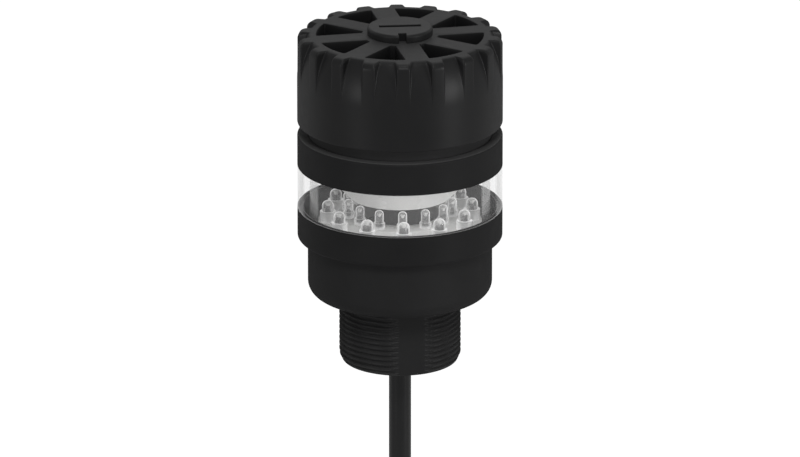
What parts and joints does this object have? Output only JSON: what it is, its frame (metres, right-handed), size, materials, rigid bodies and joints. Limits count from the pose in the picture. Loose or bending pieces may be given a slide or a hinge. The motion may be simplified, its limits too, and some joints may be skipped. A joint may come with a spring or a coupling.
{
  "type": "stack light",
  "caption": "Compact round signal light with a threaded stem, a clear light module and a sounder under a ribbed cap that turns to set its loudness.",
  "frame": {"origin": "on the axis, where the threaded stem meets the shoulder that rests on the panel", "axes": "+Z along the axis, up from the stem to the cap; -Y is the front, where the stem has its key flat"},
  "size_m": [0.05, 0.05, 0.3012],
  "materials": {
    "housing_plastic": "fine-grained black moulding",
    "ring_plastic": "fine-grained black moulding",
    "drum_plastic": "fine-grained black moulding",
    "cap_plastic": "fine-grained black moulding",
    "hub_plastic": "fine-grained black moulding",
    "duct_plastic": "matt black",
    "sounder_plastic": "smooth black",
    "connector_plastic": "natural nylon",
    "gland_rubber": "matt black rubber",
    "lens_plastic": "clear, polished",
    "tube_plastic": "clear, polished",
    "led_plastic": "clear, polished",
    "white_plastic": "white",
    "white_board": "white lacquer",
    "reflector_plastic": "bright white",
    "circuit_board": "green lacquer",
    "steel": "plain",
    "cable_jacket": "smooth black jacket",
    "tie_plastic": "black nylon",
    "lead_plastic": "coloured insulation"
  },
  "bodies": {
    "light": {"base_housing": "housing_plastic", "cable_gland": "gland_rubber", "control_board": "circuit_board", "board_connector": "connector_plastic", "board_screws": "steel", "base_gasket": "gland_rubber", "lower_ring": "ring_plastic", "lens": "lens_plastic", "upper_ring": "ring_plastic", "inner_tube": "tube_plastic", "wire_duct": "duct_plastic", "led_board": "white_board", "led_carrier": "white_plastic", "reflector": "reflector_plastic", "sounder_body": "drum_plastic", "sounder_board": "circuit_board", "sounder_element": "sounder_plastic", "thrust_washer": "steel", "hub_retainer": "hub_plastic", "cable_run": "cable_jacket", "cable_hank": "cable_jacket", "hank_tie": "tie_plastic", "cable_leads": "lead_plastic", "outer_led_01": "led_plastic", "outer_led_02": "led_plastic", "outer_led_03": "led_plastic", "outer_led_04": "led_plastic", "outer_led_05": "led_plastic", "outer_led_06": "led_plastic", "outer_led_07": "led_plastic", "outer_led_08": "led_plastic", "outer_led_09": "led_plastic", "outer_led_10": "led_plastic", "outer_led_11": "led_plastic", "outer_led_12": "led_plastic", "inner_led_01": "led_plastic", "inner_led_02": "led_plastic", "inner_led_03": "led_plastic", "inner_led_04": "led_plastic", "inner_led_05": "led_plastic", "inner_led_06": "led_plastic", "inner_led_07": "led_plastic", "inner_led_08": "led_plastic", "inner_led_09": "led_plastic", "inner_led_10": "led_plastic", "inner_led_11": "led_plastic", "inner_led_12": "led_plastic", "inner_led_13": "led_plastic", "inner_led_14": "led_plastic"},
    "cap": {"volume_cap": "cap_plastic"}
  },
  "joints": [
    {"name": "cap_turn", "type": "hinge", "parent": "light", "child": "cap", "pos_m": [0, 0, 0.05], "axis": [0, 0, 1], "range_deg": [0, 22.5]}
  ]
}
